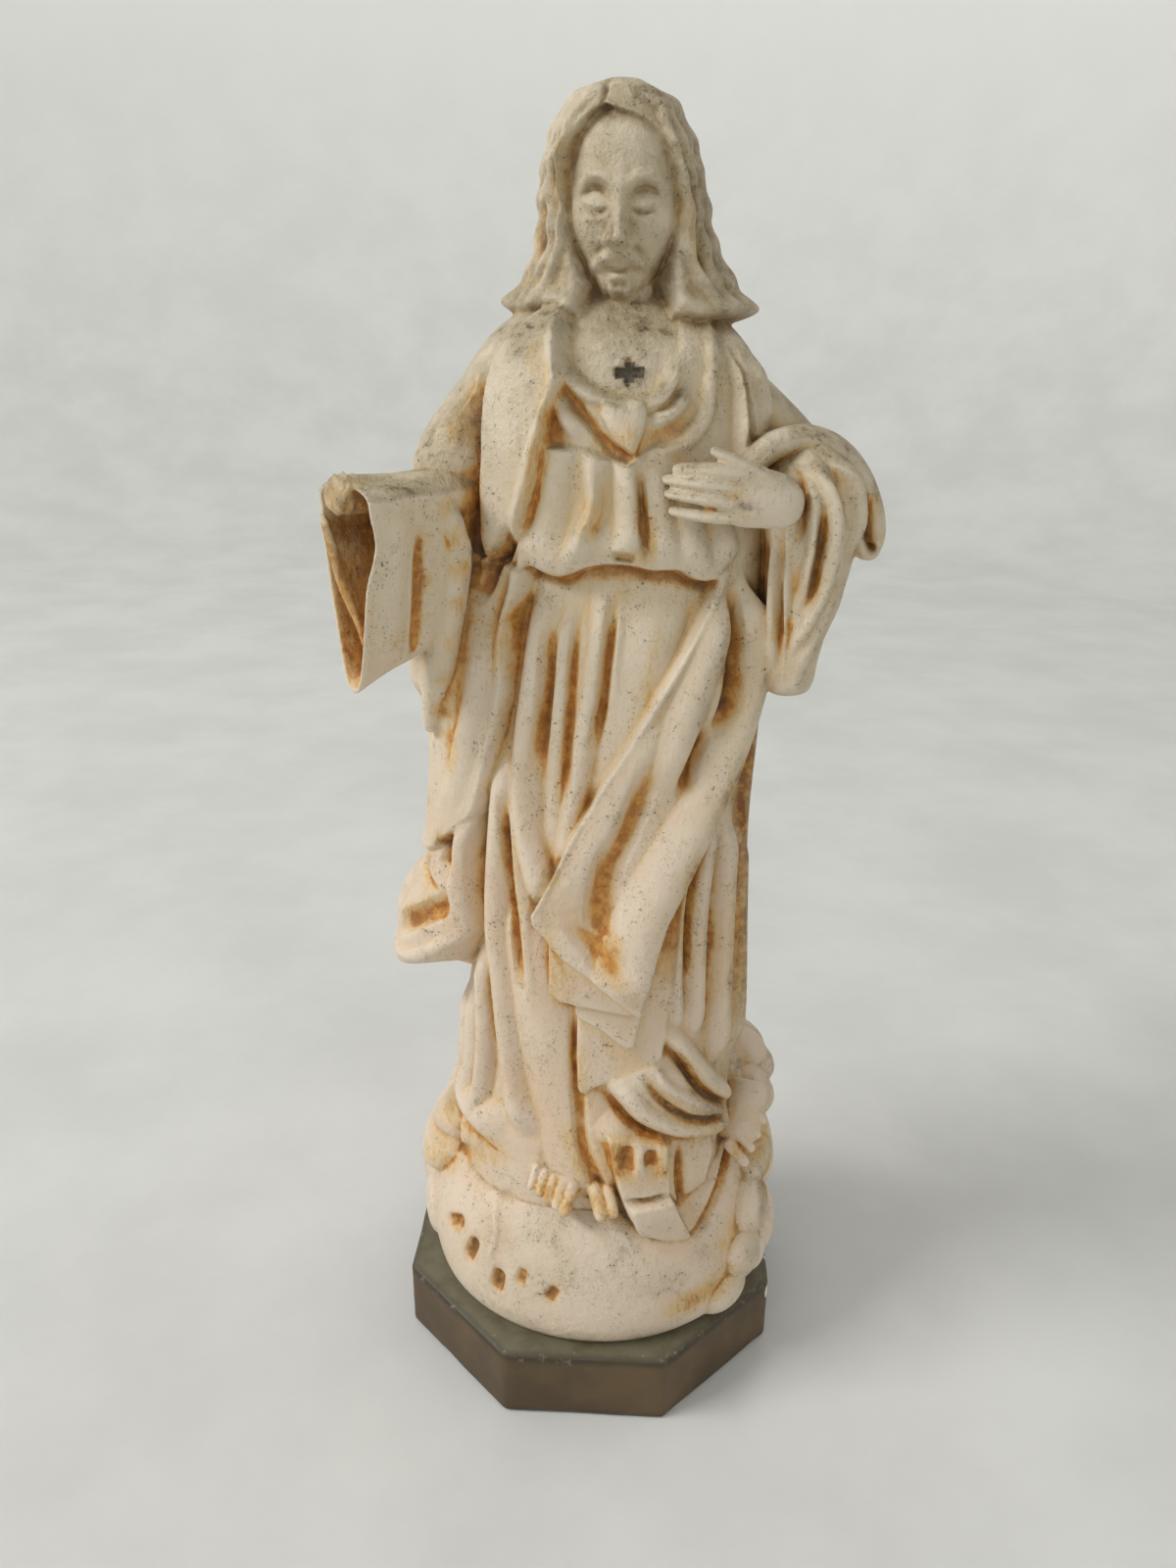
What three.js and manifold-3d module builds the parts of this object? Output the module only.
// A plaster devotional statue: a robed and mantled figure standing on a bank of cloud,
// on an octagonal plinth. Millimetres, +Z up, the front faces -Y, and the origin is at
// the middle of the plinth's underside.
import * as THREE from "three";
import Module from "manifold-3d";

const wasm = await Module();
wasm.setup();
const { clamp, lerp, smoothstep, degToRad } = THREE.MathUtils;

// Driving dimensions
const plinthAcross = 130; // from one flat side to the opposite one
const plinthHeight = 25;
const plinthDraft = 0.8; // how far each side leans in towards the underside
const plinthRounding = 2; // of the upper and lower edges
const figureHeight = 377; // cloud and figure, from the plinth's top to the crown

// The figure is a free form: its places and carving are written in shares of its height.
const sharesTall = 377;
const share = figureHeight / sharesTall;
const frontFirst = 0.5; // draws the facets of the body towards its front
const stepSoftness = 2; // half the slope where one layer of cloth ends on another
const foldFade = 12; // length over which a fold rises at its ends
// How much of its surface one degree of turn covers, by form.
const arc = { robe: 0.7, sleeve: 0.27, hair: 0.38, cloud: 0.95, flat: 1 };

// Reads a smooth curve through rows of [height, value, value, ...].
function readRows(rows, at) {
  const last = rows.length - 1;
  const height = clamp(at, rows[0][0], rows[last][0]);
  let low = 0;
  while (low < last - 1 && rows[low + 1][0] < height) low += 1;
  const span = rows[low + 1][0] - rows[low][0];
  const t = (height - rows[low][0]) / span;
  const slope = (row, column) => {
    const before = rows[Math.max(row - 1, 0)];
    const after = rows[Math.min(row + 1, last)];
    return (after[column] - before[column]) / (after[0] - before[0]);
  };
  return rows[low].map((value, column) => {
    const a = value;
    const b = rows[low + 1][column];
    const startSlope = slope(low, column) * span;
    const endSlope = slope(low + 1, column) * span;
    const bend = (1 - t) * startSlope * t * (1 - t) - t * endSlope * t * (1 - t);
    return lerp(a, b, t * t * (3 - 2 * t)) + bend;
  });
}

// A fold is a rounded ridge (or, with a negative height, a groove) along a smooth path
// of [turn, rise] on a form.
function foldOn(form, halfWidth, height, path) {
  const nodes = path.map(([turn, rise]) => new THREE.Vector3(turn * arc[form], rise, 0));
  const curve = new THREE.CatmullRomCurve3(nodes, false, "centripetal");
  const points = curve.getPoints(4 * (path.length - 1));
  const lengths = points.map((point, i) => (i ? point.distanceTo(points[i - 1]) : 0));
  const reach = [];
  lengths.reduce((sum, length, i) => (reach[i] = sum + length), 0);
  return { halfWidth, height, points, reach, total: reach.at(-1) };
}
const fold = (halfWidth, height, ...path) => foldOn("robe", halfWidth, height, path);
const sleeveFold = (halfWidth, height, ...path) => foldOn("sleeve", halfWidth, height, path);
const hairFold = (halfWidth, height, ...path) => foldOn("hair", halfWidth, height, path);

function foldHeight({ halfWidth, height, points, reach, total }, x, rise) {
  let nearest = Infinity;
  let along = 0;
  for (let i = 1; i < points.length; i += 1) {
    const from = points[i - 1];
    const dx = points[i].x - from.x;
    const dy = points[i].y - from.y;
    const part = clamp(((x - from.x) * dx + (rise - from.y) * dy) / (dx * dx + dy * dy), 0, 1);
    const distance = Math.hypot(x - from.x - part * dx, rise - from.y - part * dy);
    if (distance < nearest) {
      nearest = distance;
      along = lerp(reach[i - 1], reach[i], part);
    }
  }
  if (nearest >= halfWidth) return 0;
  const fade = Math.min(foldFade, total / 3);
  const ends = smoothstep(along, -fade / 3, fade) * smoothstep(total - along, -fade / 3, fade);
  const round = 1 - (nearest / halfWidth) ** 2;
  return height * ends * Math.sqrt(round) * (0.4 + 0.6 * round);
}

// Ridges lean on each other and meet in a crisp valley; grooves cut into what is there.
function drapery(folds, across, rise) {
  let raised = 0;
  let sunk = 0;
  for (const each of folds) {
    const height = foldHeight(each, across, rise);
    raised = Math.max(raised, height);
    sunk = Math.min(sunk, height);
  }
  return raised + sunk;
}

// Distance inside a closed outline of [turn, rise], negative outside it.
function insideOutline(outline, across, rise) {
  let nearest = Infinity;
  let inside = false;
  outline.forEach(([turnB, riseB], i) => {
    const [turnA, riseA] = outline[(i + outline.length - 1) % outline.length];
    const ax = turnA * arc.robe;
    const bx = turnB * arc.robe;
    const dx = bx - ax;
    const dy = riseB - riseA;
    const along = clamp(((across - ax) * dx + (rise - riseA) * dy) / (dx * dx + dy * dy), 0, 1);
    nearest = Math.min(nearest, Math.hypot(across - ax - along * dx, rise - riseA - along * dy));
    if (riseA > rise !== riseB > rise && across < ax + ((rise - riseA) / dy) * dx) inside = !inside;
  });
  return inside ? nearest : -nearest;
}

const layerCover = (distance) => smoothstep(distance, -stepSoftness, stepSoftness);

// A closed skin whose corners lie where place(turn, step) says: turn goes round from the
// front towards +X in degrees, and step counts the rings up from the lowest point. Each
// four-cornered facet is split along its shorter diagonal.
function skin(around, along, place) {
  const corners = [];
  for (let step = 0; step <= along; step += 1) {
    const turns = step % along ? around : 1;
    for (let i = 0; i < turns; i += 1) {
      const [x, y, z] = place((i * 360) / around - 180, step);
      corners.push(new THREE.Vector3(x * share, y * share, z * share + plinthHeight));
    }
  }
  const top = corners.length - 1;
  const at = (step, i) => {
    if (step % along === 0) return step ? top : 0;
    return 1 + (step - 1) * around + (i % around);
  };
  const facets = [];
  for (let step = 0; step < along; step += 1) {
    for (let i = 0; i < around; i += 1) {
      const [a, b, c, d] = [at(step, i), at(step, i + 1), at(step + 1, i + 1), at(step + 1, i)];
      const rising = corners[a].distanceTo(corners[c]) < corners[b].distanceTo(corners[d]);
      const pair = rising ? [[a, b, c], [a, c, d]] : [[a, b, d], [b, c, d]];
      facets.push(...pair.filter(([p, q, r]) => p !== q && q !== r && r !== p));
    }
  }
  const closed = new THREE.BufferGeometry().setFromPoints(corners);
  return closed.setIndex(facets.flat());
}

// An upright form with rows of [rise, left, right, front, back] and a relief on them.
function column(rows, around, along, relief, boxiness = 0.9, squeeze = frontFirst) {
  const bottom = rows[0][0];
  const top = rows.at(-1)[0];
  return skin(around, along, (evenTurn, step) => {
    const turn = evenTurn - (squeeze * Math.sin(degToRad(evenTurn))) / degToRad(1);
    const rise = lerp(bottom, top, clamp((step - 1) / (along - 2), 0, 1));
    const closing = Math.min(1, step, along - step);
    const [, left, right, front, back] = readRows(rows, rise);
    const proud = relief(turn, rise);
    const side = Math.sin(degToRad(turn));
    const forward = Math.cos(degToRad(turn));
    const halfAcross = (right - left) / 2 + proud;
    const halfDeep = (back - front) / 2 + proud;
    const x = (left + right) / 2 + closing * halfAcross * Math.sign(side) * Math.abs(side) ** boxiness;
    const out = halfDeep * Math.sign(forward) * Math.abs(forward) ** boxiness;
    return [x, (front + back) / 2 - closing * out, rise];
  });
}

// A limb along a path of [x, y, z, half width, half height], with blunt rounded ends; its
// width lies square to both its path and the direction given as upright.
function limb(path, around, along, bluntness = 3, upright = [0, 0, 1]) {
  const rows = path.map(([x, y, z, halfWidth, halfHeight], i) => [
    i / (path.length - 1), x, y, z, halfWidth, halfHeight ?? halfWidth,
  ]);
  const slight = 0.01;
  return skin(around, along, (turn, step) => {
    const t = (1 - Math.cos((Math.PI * step) / along)) / 2;
    const end = Math.max(0, 1 - Math.abs(2 * t - 1) ** bluntness) ** (1 / bluntness);
    const [, x, y, z, halfWidth, halfHeight] = readRows(rows, t);
    const before = new THREE.Vector3(...readRows(rows, t - slight).slice(1, 4));
    const after = new THREE.Vector3(...readRows(rows, t + slight).slice(1, 4));
    const ahead = after.sub(before).normalize();
    const across = new THREE.Vector3(...upright).cross(ahead).normalize();
    const over = ahead.clone().cross(across);
    return new THREE.Vector3(x, y, z)
      .addScaledVector(across, Math.sin(degToRad(turn)) * halfWidth * end)
      .addScaledVector(over, -Math.cos(degToRad(turn)) * halfHeight * end)
      .toArray();
  });
}

// Robe and mantle: left, right, front and back of the body under its folds, by rise
const bodyRows = [
  [24, -47, 47, -44, 37],
  [48, -47, 47, -44, 37],
  [62, -46, 47, -42, 36],
  [85, -44, 47, -38, 34],
  [110, -43, 46.5, -36, 33],
  [140, -42, 45, -34, 32],
  [170, -41, 44, -32, 31],
  [200, -39, 45, -30, 30],
  [225, -36, 46, -28, 29],
  [245, -33, 46, -26, 27],
  [262, -34, 45, -28, 27],
  [285, -36, 43, -29, 26],
  [300, -35, 40, -26, 25],
  [310, -31, 36, -23, 23],
  [318, -24, 29, -16, 20],
  [325, -13, 19, -9, 16],
  [331, -6, 12, -5, 12],
];
const skirtFolds = [
  // front of the skirt, from the belt down
  fold(6, 4.5, [-32, 246], [-32, 225], [-33, 188], [-30, 172], [-24, 160], [-20, 148]),
  fold(4, 2.4, [-22, 242], [-20, 215], [-18, 190], [-16, 168]),
  fold(3, 2, [-13, 240], [-12, 210], [-11, 190]),
  fold(4.5, 4.2, [-6, 248], [-7, 232], [-9, 198], [-11, 178], [-12, 160]),
  fold(10, 3.2, [10, 247], [6, 205], [4, 180]),
  // left side, down to the cloud
  fold(6, 5, [-43, 196], [-45, 168], [-46, 142], [-42, 120], [-37, 98], [-32, 81], [-22, 68]),
  fold(5, 4, [-38, 190], [-35, 170], [-33, 158], [-29, 146], [-26, 128], [-22, 112]),
  fold(11, 3.5, [-30, 150], [-26, 128], [-20, 105], [-12, 85], [-3, 66], [4, 50]),
  fold(4.5, 5, [-56, 130], [-53, 110], [-52, 92], [-55, 74], [-62, 62]),
  fold(5, 4, [-68, 112], [-66, 88], [-74, 62]),
  fold(5, 4, [-84, 108], [-84, 84], [-92, 60]),
  // right side: upright folds under the mantle's corner
  fold(4, 4.5, [27, 176], [23, 155], [20, 140], [17, 108]),
  fold(3.5, 5, [36, 180], [32, 164], [29, 148], [28, 126], [30, 106]),
  fold(5, 5.5, [46, 184], [42, 165], [39, 146], [38, 120], [38, 102]),
  fold(4, 5.5, [84, 218], [64, 202], [51, 189], [41, 178], [34, 166]),
  fold(6, 5.5, [60, 176], [57, 140], [55, 110], [57, 90]),
  fold(5, 5, [78, 170], [78, 125], [80, 86]),
  fold(3, -4, [68, 216], [54, 201], [43, 190], [35, 178]),
  // cloth drawn to the left foot
  fold(4.5, 7, [24, 112], [27, 107], [36, 97], [50, 84], [70, 72]),
  fold(3.5, 7.5, [15, 101], [24, 90], [34, 84], [52, 75], [68, 70]),
  fold(4.2, 8, [3, 97], [12, 86], [18, 80], [33, 73], [56, 68], [70, 66]),
  fold(6, 5, [-2, 80], [8, 72], [18, 66], [28, 64]),
];
// Cloth that lies over the skirt at the foot, as [height, outline].
const footLayers = [
  [1.5, [[25, 72], [32, 40], [36, 37], [50, 43], [57, 56], [54, 64], [38, 68]]],
  [7, [[4, 74], [6, 64], [9, 54], [12, 46], [15, 41], [25, 36], [36, 33], [33, 40], [28, 50],
    [26, 62], [25, 71]]],
  [9, [[12.5, 50], [20, 50.5], [28, 51], [31, 44], [36.5, 34], [25, 36], [15, 40]]],
];
const beltEdge = [
  [-180, 252], [-50, 251], [-38, 253], [-25, 250.5], [-14, 253.5], [-5, 255], [0, 255],
  [8, 253.5], [18, 253.5], [26, 250.5], [34, 250.5], [50, 253], [180, 252],
];
const blouseFolds = [
  fold(6, 2.6, [-22, 287], [-26, 271], [-32, 257]),
  fold(3.5, 3.4, [-6, 287], [-8, 272], [-13, 262], [-19, 254]),
  fold(3.4, 3.6, [2, 285], [2, 272], [2, 263], [-1, 255]),
  fold(5, 1.8, [12, 282], [12, 255]),
  fold(5, 2.2, [23, 276], [25, 253]),
  fold(5, 2, [38, 276], [38, 256]),
];
const collarRoll = fold(2.6, 1.6, [62, 322], [47, 314], [39, 304], [34, 295], [24, 288.5], [10, 285.5]);
// The open front of the mantle and tunic on the chest.
const chestOpening = [
  [-50, 332], [-30, 300], [-24, 286], [-12, 286], [2, 282.5], [10, 286.5], [22, 289.5], [31, 296],
  [36, 304], [43, 313], [58, 322], [60, 332],
];
const cowlFolds = [
  fold(2.4, 2.4, [-22, 308], [-18, 304], [-10, 300], [0, 298]),
  fold(2.8, 2.8, [-26, 304], [-22, 300], [-18, 294], [-12, 289]),
  fold(2.4, 2.4, [7, 297], [15, 299], [24, 308]),
  fold(2.4, 2.4, [9, 292.5], [20, 296], [27, 301]),
];
const heart = [
  [-5.5, 295], [-4, 297.6], [-1, 298.8], [2, 298.2], [5, 299], [8, 298.4], [9.5, 295.6], [8, 290.5],
  [4.2, 283.6], [-1, 287.6],
];
const lapelRoll = fold(3.2, 2, [-34, 325], [-25, 315], [-19, 303], [-25, 290], [-33, 274], [-42, 260]);
const mantleFolds = [
  lapelRoll,
  fold(7, 3, [-84, 300], [-78, 270], [-74, 240]),
  fold(5, 3, [-66, 304], [-66, 280], [-68, 256], [-72, 236]),
  fold(3, -5, [-59, 243], [-52, 254], [-42, 264]),
  fold(5, 3, [49, 312], [47, 298], [45, 284]),
  fold(5, 3, [70, 312], [70, 290]),
  // pleats of the hanging side
  fold(4, 1.8, [-54, 232], [-55, 212], [-60, 192], [-66, 176]),
  fold(5, 3, [-92, 152], [-96, 134], [-100, 118]),
];
for (const side of [-1, 1]) {
  for (const [shoulder, hem] of [[178, 176], [152, 146], [126, 116]]) {
    mantleFolds.push(fold(9, 4.5, [side * shoulder, 296], [side * hem, 190], [side * hem, 84]));
  }
  mantleFolds.push(fold(6, 3, [side * 165, 250], [side * 131, 150], [side * 132, 96]));
}
// Pleats and hollows of the cloth that hangs behind the front flap.
const hangingPleats = [
  fold(3.6, 3.4, [-58, 176], [-60, 160], [-60, 148], [-57, 137]),
  fold(3.4, -5, [-71, 163], [-67, 164], [-66, 155]),
  fold(3.6, -4.5, [-81, 130], [-75, 136], [-68, 141], [-64, 147]),
];
// Where the mantle's front edges run, as rows of [rise, turn], and its hem by turn.
const mantleLeftEdge = [
  [88, -62], [131, -57], [137, -55], [153, -56], [164, -56], [176, -54], [188, -50], [203, -46],
  [214, -44], [224, -44], [238, -44.5], [249, -39], [258, -39], [267, -36], [278, -29], [289, -24.5],
  [294, -23], [303, -18.5], [310, -21], [318, -28], [324, -50], [331, -110],
];
const mantleRightEdge = [
  [88, 84], [140, 80], [180, 78], [219, 72], [240, 58], [252, 48], [262, 44], [284, 46],
  [300, 50], [312, 56], [318, 66], [323, 84], [331, 110],
];
const mantleHem = [
  [-180, 88], [-150, 92], [-120, 98], [-100, 107], [-85, 116], [-76, 119.5], [-70, 119], [-65, 119.5],
  [-60, 124.5], [-56, 131], [-54, 134], [0, 134], [80, 96], [130, 90], [180, 88],
];
// How far the mantle's hanging side stands out at the figure's right arm, by rise.
const hangingSide = [
  [88, 8], [104, 14], [114, 20], [122, 22], [134, 20], [150, 13], [163, 10], [176, 9], [190, 9],
  [210, 11], [241, 13], [262, 12], [276, 9], [290, 5], [331, 0],
];
const frontLayer = [
  [-38, 252], [-45, 238], [-44, 224], [-44, 214], [-46, 203], [-50, 188], [-54, 176], [-60, 172],
  [-66, 167], [-71, 162], [-77, 159], [-88, 158], [-104, 162], [-112, 200], [-100, 240], [-70, 256],
];
const lapel = [
  [-32, 324], [-24, 314], [-18.5, 303], [-23, 294], [-24.5, 289], [-29, 278], [-36, 267],
  [-41, 261], [-49, 257], [-56, 252], [-57.5, 262], [-56, 275], [-54, 284], [-54, 298],
  [-54, 306], [-52, 316], [-46, 324],
];
const frontPanel = [
  [46, 260], [36, 253], [30, 244], [22, 232], [12, 217], [6, 206], [0, 195], [-4, 185], [-10, 174],
  [-16, 160], [-21, 152], [-23, 149], [-22, 146], [-18, 143], [-10, 136], [-3, 131], [4, 124],
  [12, 117], [13, 124], [16, 138], [20, 150], [28, 162], [37, 177], [48, 191], [60, 207], [68, 222],
  [72, 240], [70, 262],
];
const panelRise = [[116, 9.2], [150, 8], [200, 5.4], [256, 4]];
const panelFolds = [
  fold(8, 5.5, [56, 250], [57, 224], [51, 210], [41, 194], [31, 179], [21, 164], [14, 150], [10, 134],
    [10, 122]),
  fold(6, 3.5, [36, 246], [33, 234], [27, 220], [22, 206], [18, 190]),
  fold(5, 2, [14, 212], [4, 190], [-4, 170], [-12, 152]),
  fold(3.5, -2.6, [12, 196], [7, 180], [2, 167], [0, 152], [0, 138]),
  fold(4, -2.4, [-8, 150], [2, 138], [6, 128]),
];
// Corners of cloth that show under the panel, as [height, outline].
const underPanels = [
  [3.2, [[-7, 122], [-7, 100], [-6, 88], [-4, 86.5], [-1, 89], [7, 94], [18, 97.5], [23, 99],
    [25, 113], [27, 134], [29, 160], [38, 184]]],
  [5.4, [[-8, 124], [-7, 116], [0, 111.5], [8, 104.5], [11, 105], [14, 118], [15, 130]]],
  [7.2, [[-16.5, 150], [-16, 124], [-12, 121], [-2, 119.5], [8, 117.5], [14, 117], [16, 140]]],
];

function robeRelief(turn, rise) {
  const across = turn * arc.robe;
  const covered = (outline) => layerCover(insideOutline(outline, across, rise));
  let proud = drapery(skirtFolds, across, rise);
  for (const [height, outline] of footLayers) proud = lerp(proud, height, covered(outline));

  const aboveBelt = rise - readRows(beltEdge, turn)[1];
  const bunching = 1.6 + 3 * Math.exp(-(((aboveBelt - 5) / 8) ** 2));
  const waist = proud - 2 * Math.exp(-((aboveBelt / 3) ** 2));
  proud = lerp(waist, bunching + drapery(blouseFolds, across, rise), layerCover(aboveBelt));
  const neckline = 298.8 + 0.02 * (turn - 3) ** 2;
  const inHeart = 1 - clamp(insideOutline(heart, across, rise) / 3, 0, 1);
  let chest = 0.9 + drapery(cowlFolds, across, rise) - 1.1 * layerCover(rise - neckline);
  chest += 4 * Math.sqrt(1 - inHeart * inHeart);
  proud = lerp(proud + drapery([collarRoll], across, rise), chest, covered(chestOpening));

  for (const [height, outline] of underPanels) proud = lerp(proud, height, covered(outline));
  const panel = readRows(panelRise, rise)[1] + drapery(panelFolds, across, rise);
  proud = lerp(proud, panel, covered(frontPanel));

  const pastLeft = (readRows(mantleLeftEdge, rise)[1] - turn) * arc.robe;
  const pastRight = (turn - readRows(mantleRightEdge, rise)[1]) * arc.robe;
  const aboveHem = rise - readRows(mantleHem, turn)[1];
  const cover = layerCover(Math.min(Math.max(pastLeft, pastRight), aboveHem));
  const sideways = smoothstep(-turn, 46, 84) * (1 - smoothstep(-turn, 104, 160));
  const out = readRows(hangingSide, rise)[1] * sideways;
  const mantle = 4 + out + drapery(mantleFolds, across, rise);
  proud = lerp(proud, mantle + drapery(hangingPleats, across, rise), cover);
  proud = lerp(proud, mantle + 2.4, Math.max(covered(frontLayer), covered(lapel)));
  return proud * smoothstep(331 - rise, 0, 10);
}

// Sleeve of the right arm, by its run: x, y, z, half width, height above and below the arm.
// It hangs from the forearm, and its mouth is open and hollow.
const sleeveRun = [
  [0, -34, -2, 272, 8, 8, 34],
  [0.5, -54, -25, 273, 12.5, 5.5, 46],
  [0.75, -62, -33, 273, 12.8, 4.5, 49.5],
  [1, -69.5, -40.5, 272.4, 13.2, 5.2, 53.4],
];
const sleeveWall = 1.8;
const sleeveDepth = 0.5; // how far back the hollow goes, as a share of the run
const outerShare = 0.62; // share of the rings spent on the outside
const sleeveFlute = { at: 0.6, halfWidth: 0.08, deep: 1.2 }; // upright groove of the front side
const acrossSleeve = new THREE.Vector3(0.69, -0.72, 0);

function hangingSleeve(around, along) {
  const mouthRing = Math.round(outerShare * along);
  return skin(around, along, (turn, step) => {
    const closing = Math.min(1, step, along - step);
    const outside = step <= mouthRing;
    const back = clamp((step - mouthRing) / (along - 1 - mouthRing), 0, 1);
    const run = outside ? clamp((step - 1) / (mouthRing - 1), 0, 1) : 1 - sleeveDepth * back;
    const wall = outside ? 0 : sleeveWall + 2 * back;
    const [, x, y, z, halfWidth, above, below] = readRows(sleeveRun, run);
    const up = -Math.cos(degToRad(turn));
    const side = Math.sin(degToRad(turn));
    const down = Math.max(0, -up);
    const height = up > 0 ? (above - wall) * up : (below - 1.8 * wall) * up;
    const roundness = 1 - 0.4 * clamp(3 * down, 0, 1);
    const widest = (halfWidth - wall) * (1 - 0.45 * down);
    const flute = outside ? Math.exp(-(((run - sleeveFlute.at) / sleeveFlute.halfWidth) ** 2)) : 0;
    const width = widest * Math.sign(side) * Math.abs(side) ** roundness;
    return new THREE.Vector3(x, y, z + height * closing)
      .addScaledVector(acrossSleeve, (width - flute * sleeveFlute.deep * Math.max(0, side)) * closing)
      .toArray();
  });
}

const rightArm = [
  limb([[-14, 2, 310, 12], [-30, -3, 297, 12.5], [-41, -9, 284, 12], [-49, -15, 273, 9.5]], 10, 6, 7),
  hangingSleeve(16, 12),
  limb([[-50, -20, 273, 5], [-64, -35, 273.6, 5.2], [-71.5, -43, 274.2, 5]], 8, 5, 9),
  limb(
    [[-48, -24, 278, 3, 2.5], [-45.6, -27, 272, 4.4, 3.5], [-42.6, -27, 263, 5, 4],
      [-42.4, -26, 253, 5.2, 4], [-43.8, -24.5, 243, 5.2, 4], [-46, -22.5, 232, 5.2, 4],
      [-48.4, -20, 221, 5, 4], [-51, -17, 210, 4, 3.4], [-53, -15, 200, 2.5, 2.5]],
    6, 11, 6,
  ),
  limb([[-50, -6, 250, 7], [-54, -4, 233, 6], [-57, -2, 218, 4], [-55, -1, 205, 1.8]], 6, 6, 4),
];

// Sleeve, turned-back mantle and hand of the left arm
const leftSleeveRows = [
  [215, 51, 58, -18, -10],
  [217, 48, 62, -23, -4],
  [226, 47, 64, -25, 1],
  [242, 46, 67, -28, 5],
  [258, 45, 70, -30, 7],
  [272, 43, 71, -30, 7],
  [282, 44, 69, -27, 5],
  [288, 50, 62, -20, -2],
];
const leftSleeveFolds = [
  sleeveFold(3, 3, [-8, 282], [-2, 275], [0, 266], [-2, 258], [-4, 250], [-10, 242]),
  sleeveFold(3.8, 4.4, [-21, 285], [2, 282.5], [14, 277], [20, 272], [22, 262], [21, 253], [13, 244],
    [2, 237], [-8, 229]),
  sleeveFold(3.4, 4, [0, 287], [28, 284], [46, 279], [56, 272], [62, 264], [60, 256]),
  sleeveFold(3, 3, [-50, 262], [-47, 249], [-46, 230], [-44, 220]),
  sleeveFold(4.5, 3.4, [42, 254], [28, 241], [14, 231], [6, 221]),
  sleeveFold(4, 3, [100, 280], [98, 230]),
  sleeveFold(4, 3, [150, 280], [150, 230]),
];
const towardsFront = [0, -1, 0];
const leftArm = [
  limb([[20, 2, 307, 12], [38, 0, 293, 12.5], [53, -1, 279, 12.5], [60, -3, 272, 11]], 10, 6, 5),
  column(leftSleeveRows, 20, 12, (turn, rise) => drapery(leftSleeveFolds, turn * arc.sleeve, rise), 1, 0),
  limb(
    [[35, -27, 276, 3, 4], [38.5, -25, 281, 3.7, 5], [44.2, -21, 286.2, 4, 6],
      [52.6, -15, 288.3, 4, 8], [60, -11, 287.2, 4, 9], [66.3, -8, 283.6, 4, 9],
      [71.4, -6, 278.2, 3.9, 9], [75, -5, 272.2, 3.8, 8], [77.2, -5, 266, 3.7, 8],
      [78, -5, 260.5, 3.4, 7], [76.6, -6, 257, 2.9, 7], [74.4, -7, 257.4, 2.5, 6],
      [72.4, -8, 261, 2.5, 6], [71, -9, 266, 2.6, 6], [69, -10, 273, 2.6, 5]],
    7, 22, 8, towardsFront,
  ),
  limb([[48, -4, 286, 6, 10], [60, 0, 280, 6, 11], [68, 1, 270, 5, 9]], 6, 6, 4, towardsFront),
  limb(
    [[53.4, -27.5, 272.4, 4, 5], [49.5, -31, 272.8, 4.6, 6.4], [46, -33, 273.8, 4.6, 7.3],
      [41, -35, 274.6, 4, 7.9], [36, -36.4, 275.1, 3.2, 7.9], [31.5, -37, 275.4, 2.7, 7.3]],
    10, 8, 5,
  ),
];
const fingers = [
  [[38, -37.5, 280.8, 2.1, 2.2], [28, -38.5, 282, 1.9, 2], [17.8, -35.5, 281.7, 1.6, 1.7]],
  [[36, -38, 277.2, 2.1, 2.1], [26, -38.6, 278.6, 1.9, 1.9], [15.4, -33, 278.9, 1.6, 1.6]],
  [[36, -38, 273.6, 2, 2.1], [27, -38.2, 274.6, 1.9, 1.9], [16, -33, 275.3, 1.6, 1.6]],
  [[38, -37, 269.8, 2, 2], [28, -37.4, 270, 1.8, 1.9], [17.2, -33.4, 270.8, 1.5, 1.6]],
  [[45, -34.5, 278.4, 2.6, 2.8], [37, -37.5, 282.9, 1.9, 2], [27.4, -38.5, 287.2, 1.45, 1.45]],
];
leftArm.push(...fingers.map((path) => limb(path, 6, 5, 5)));

// Head, beard and hair
const headMiddle = [3, -1.5, 346.5];
const headTurn = degToRad(-4); // looks a little to its right
const headBow = degToRad(8);
const headSize = [16.6, 18, 24.5];

// Relief of the face, as bumps of [across, height, half width, half height, proud].
const faceBumps = [
  [0, 4.5, 1.8, 6, 1.4],
  [0, -2.4, 2.2, 5, 2.8],
  [0, -6.2, 2.4, 2.4, 2.8],
  [2.5, -7, 1.5, 1.6, 1.6],
  [6, 2.8, 4.6, 4, -2.4],
  [6.2, 2, 3.7, 2.6, 2.4],
  [9.7, -4.2, 5.3, 5.2, 1.1],
  [2.8, -10.8, 2.9, 1.9, 1.3],
  [0, -14.8, 2.6, 1.2, 1],
  [0, -20.5, 5.8, 5.2, 3.4],
  [7.8, -17.4, 4.4, 6.8, 1.8],
];

function faceRelief(x, z) {
  let proud = 0;
  for (const [across, height, halfWidth, halfHeight, out] of faceBumps) {
    for (const side of across ? [-1, 1] : [1]) {
      const far = ((x - side * across) / halfWidth) ** 2 + ((z - height) / halfHeight) ** 2;
      proud += out * Math.exp(-1.2 * far);
    }
  }
  return proud;
}

function placeHead(x, y, z) {
  return new THREE.Vector3(x, y, z)
    .applyAxisAngle(new THREE.Vector3(1, 0, 0), headBow)
    .applyAxisAngle(new THREE.Vector3(0, 0, 1), headTurn)
    .add(new THREE.Vector3(...headMiddle))
    .toArray();
}

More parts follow.
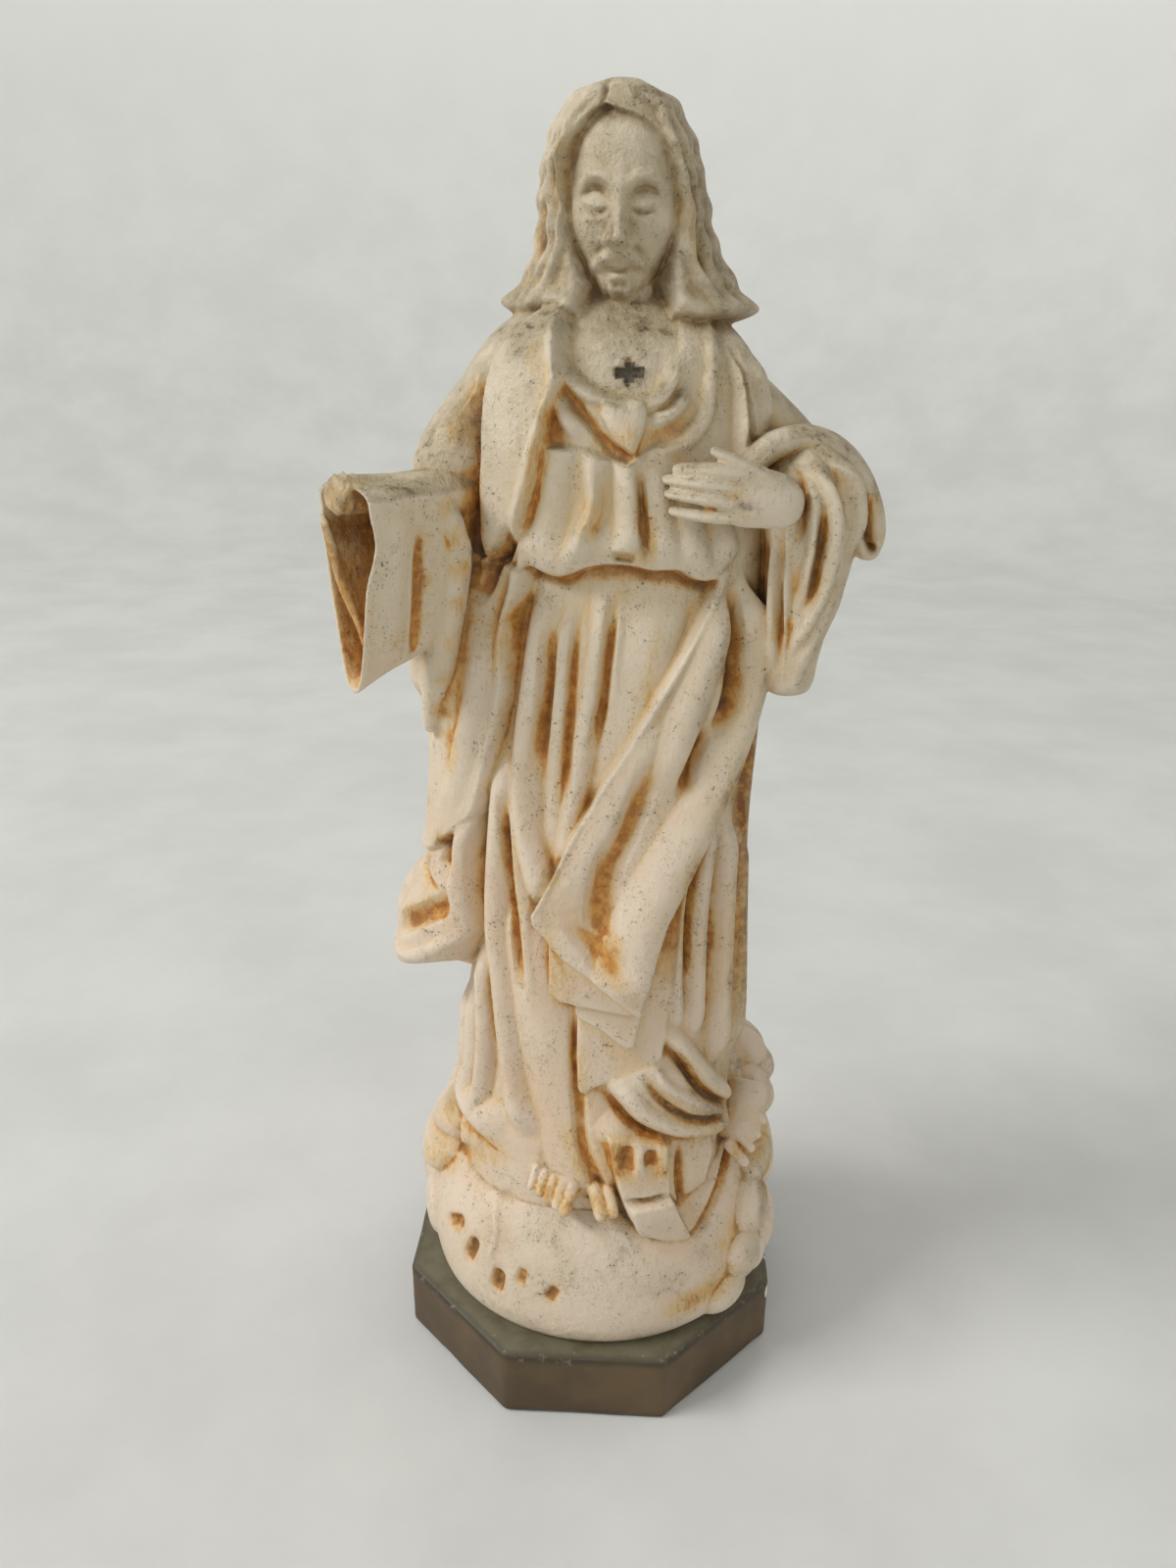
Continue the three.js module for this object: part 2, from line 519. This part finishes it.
const head = skin(26, 18, (evenTurn, step) => {
  const turn = evenTurn - (0.55 * Math.sin(degToRad(evenTurn))) / degToRad(1);
  const slant = (Math.PI * step) / 18;
  const z = -headSize[2] * Math.cos(slant);
  const jaw = 1 - 0.26 * smoothstep(-z, 4, headSize[2]);
  const ring = Math.max(0, Math.sin(slant)) ** 0.85;
  const x = headSize[0] * ring * jaw * Math.sin(degToRad(turn));
  const facing = Math.max(0, Math.cos(degToRad(turn)));
  const y = -headSize[1] * ring * Math.cos(degToRad(turn)) * (1 - 0.1 * facing);
  return placeHead(x, y - faceRelief(x, z) * smoothstep(facing, 0, 0.5), z);
});
const neck = limb([[5, 1, 312, 12], [5, -1, 322, 10], [4, -1, 338, 10]], 10, 5, 8);

const hairRows = [
  [315, -15, 25, -8, 26],
  [319, -27, 37, -14.5, 27],
  [322.5, -29.5, 40, -17, 27],
  [327, -26, 35.5, -17, 26],
  [334, -22.5, 30, -16.5, 25],
  [343, -20.5, 26.5, -17.5, 24.5],
  [352, -19.5, 24, -18.5, 24],
  [361, -18, 21.5, -18.5, 23],
  [368, -15, 18, -16.5, 20.5],
  [374, -10, 13.5, -12, 15],
  [377, -4.5, 8, -6, 9],
];
// The gap that the face looks out of, by rise: its middle and half its turn.
const faceGap = [
  [315, -2, 16], [322, -2, 19], [328, -1, 22], [334, -1, 29], [342, -1.5, 38], [349, -2, 42.5],
  [357, -2.5, 41.5], [362, -3, 39], [365, -5, 31], [367, -8, 22], [369, -12, 9], [370.5, -14, -3],
  [377, -14, -20],
];
const parting = -15;
const locks = [hairFold(2, -2.4, [parting, 366], [parting - 3, 373], [parting - 10, 376.5])];
for (const side of [-1, 1]) {
  for (let lane = 0; lane < 5; lane += 1) {
    const spread = 46 + 28 * lane;
    const path = [];
    for (let i = 0; i < 11; i += 1) {
      const height = 374 - 5.6 * i;
      const opened = 1 - Math.exp(-(375.5 - height) / (2.2 + lane));
      const wave = 7 * Math.sin(height / 5.4 + lane * 1.3 + side);
      path.push([parting * (1 - opened) + side * (spread + wave) * opened, height]);
    }
    locks.push(hairFold(4.6, 2.6, ...path));
  }
}

const hair = column(hairRows, 28, 14, (turn, rise) => {
  const [, middle, half] = readRows(faceGap, rise);
  const past = (Math.abs(turn - middle) - half) * arc.hair;
  const curl = 1.8 * Math.exp(-(((rise - 321.5) / 2.6) ** 2));
  const outside = drapery(locks, turn * arc.hair, rise) - 1.2 + curl;
  return lerp(-9, outside, smoothstep(past, -0.6, 1.4));
}, 0.88);

// Cloud: a smooth dome in front, and puffs at the sides and the back
const cloudRows = [
  [0, -53, 57, -57, 44],
  [4, -56, 60, -59.5, 47],
  [14, -58, 62, -60, 49],
  [26, -58, 61, -57.5, 49],
  [36, -56, 60, -52.5, 48],
  [44, -52, 59, -45, 47],
  [52, -48, 58, -34, 46],
  [66, -43, 56, -26, 43],
  [80, -36, 50, -16, 37],
  [88, -26, 38, -4, 28],
];
// Each puff is [turn, rise, half size, height].
const cloudPuffs = [
  [-82, 48, 15, 10], [-100, 30, 15, 6], [-84, 18, 12, 3], [-70, 57, 8, 5], [-56, 55, 9, 5],
  [-40, 58, 8, 4],
  [73, 47, 11, 7], [66, 33, 10, 6], [59, 19, 9, 5], [51, 7, 9, 4],
  [84, 78, 9, 9], [92, 68, 9, 9.5], [78, 66, 6, 7], [86, 58, 8, 8], [98, 74, 12, 8], [90, 40, 13, 6],
  [84, 14, 13, 5], [76, 26, 6, 5], [68, 12, 6, 4],
];
for (let i = 0; i < 7; i += 1) {
  cloudPuffs.push([112 + 23 * i, i % 2 ? 24 : 17, 15, 6], [121 + 23 * i, i % 2 ? 64 : 54, 17, 8]);
}

function puffs(turn, rise) {
  let proud = 0;
  for (const [middle, height, halfSize, out] of cloudPuffs) {
    const away = Math.abs(turn - middle) % 360;
    const across = Math.min(away, 360 - away) * arc.cloud;
    const far = (across ** 2 + (rise - height) ** 2) / halfSize ** 2;
    if (far < 1) proud = Math.max(proud, out * Math.sqrt(1 - far));
  }
  return proud;
}
const cloud = column(cloudRows, 26, 11, puffs, 1, 0);

// Feet: toes side by side, from the first root to the last
function toes(first, last, forward, radius, count = 5) {
  return Array.from({ length: count }, (_, i) => {
    const root = first.map((value, axis) => lerp(value, last[axis], i / Math.max(count - 1, 1)));
    const tip = root.map((value, axis) => value + forward[axis] * (1 - 0.07 * i));
    const size = radius * (1 - 0.09 * i);
    return limb([[...root, size], [...tip, size * 0.85]], 6, 4, 4);
  });
}
const feet = [
  limb([[-4, -34, 60, 8, 6], [-11, -43, 54, 7, 4]], 8, 5, 4),
  ...toes([-5.5, -44, 56], [-18, -40.5, 58], [-3, -7.5, -5.5], 2.6),
  ...toes([1, -42.5, 54.5], [1, -42.5, 54.5], [3.6, -8.5, -6.5], 2.6, 1),
  limb([[53, -9, 73, 8, 6], [49.5, -21, 56, 7.5, 5]], 8, 6, 5),
  ...toes([46.4, -22.5, 59], [52.6, -17.5, 67], [7, -3.4, -7], 2.6, 4),
];

function toSolid(geometry) {
  const vertProperties = geometry.getAttribute("position").array;
  const triVerts = new Uint32Array(geometry.index.array);
  return new wasm.Manifold(new wasm.Mesh({ numProp: 3, vertProperties, triVerts }));
}

function joined(geometries) {
  const whole = geometries.map(toSolid).reduce((sum, solid) => sum.add(solid));
  const mesh = whole.getMesh();
  const geometry = new THREE.BufferGeometry();
  geometry.setAttribute("position", new THREE.BufferAttribute(mesh.vertProperties, 3));
  geometry.setIndex(new THREE.BufferAttribute(mesh.triVerts, 1));
  geometry.computeVertexNormals();
  return geometry;
}

const body = column(bodyRows, 37, 64, robeRelief);
const figure = new THREE.Mesh(
  joined([body, cloud, ...rightArm, ...leftArm, ...feet, neck, head, hair]),
  new THREE.MeshStandardMaterial({ color: 0xddceb2, roughness: 0.62, metalness: 0 }),
);
figure.name = "figure";

// Plinth: an upright octagon with its flats to the front, back and sides
const flatToCorner = 1 / Math.cos(Math.PI / 8);
const topRadius = (plinthAcross / 2) * flatToCorner;
const footRadius = topRadius - plinthDraft * flatToCorner;
const plinthProfile = [
  new THREE.Vector2(0, 0),
  new THREE.Vector2(footRadius - plinthRounding / 2, 0),
  new THREE.Vector2(footRadius, plinthRounding / 2),
  new THREE.Vector2(topRadius, plinthHeight - plinthRounding),
  new THREE.Vector2(topRadius - plinthRounding * 0.3, plinthHeight - plinthRounding * 0.3),
  new THREE.Vector2(topRadius - plinthRounding, plinthHeight),
  new THREE.Vector2(0, plinthHeight),
];
const plinthShape = new THREE.LatheGeometry(plinthProfile, 8, Math.PI / 8);
plinthShape.rotateX(Math.PI / 2);
const plinth = new THREE.Mesh(
  plinthShape,
  new THREE.MeshStandardMaterial({ color: 0x4a443a, roughness: 0.45, metalness: 0.1 }),
);
plinth.name = "plinth";

const statue = new THREE.Group();
statue.add(figure, plinth);
export default statue;
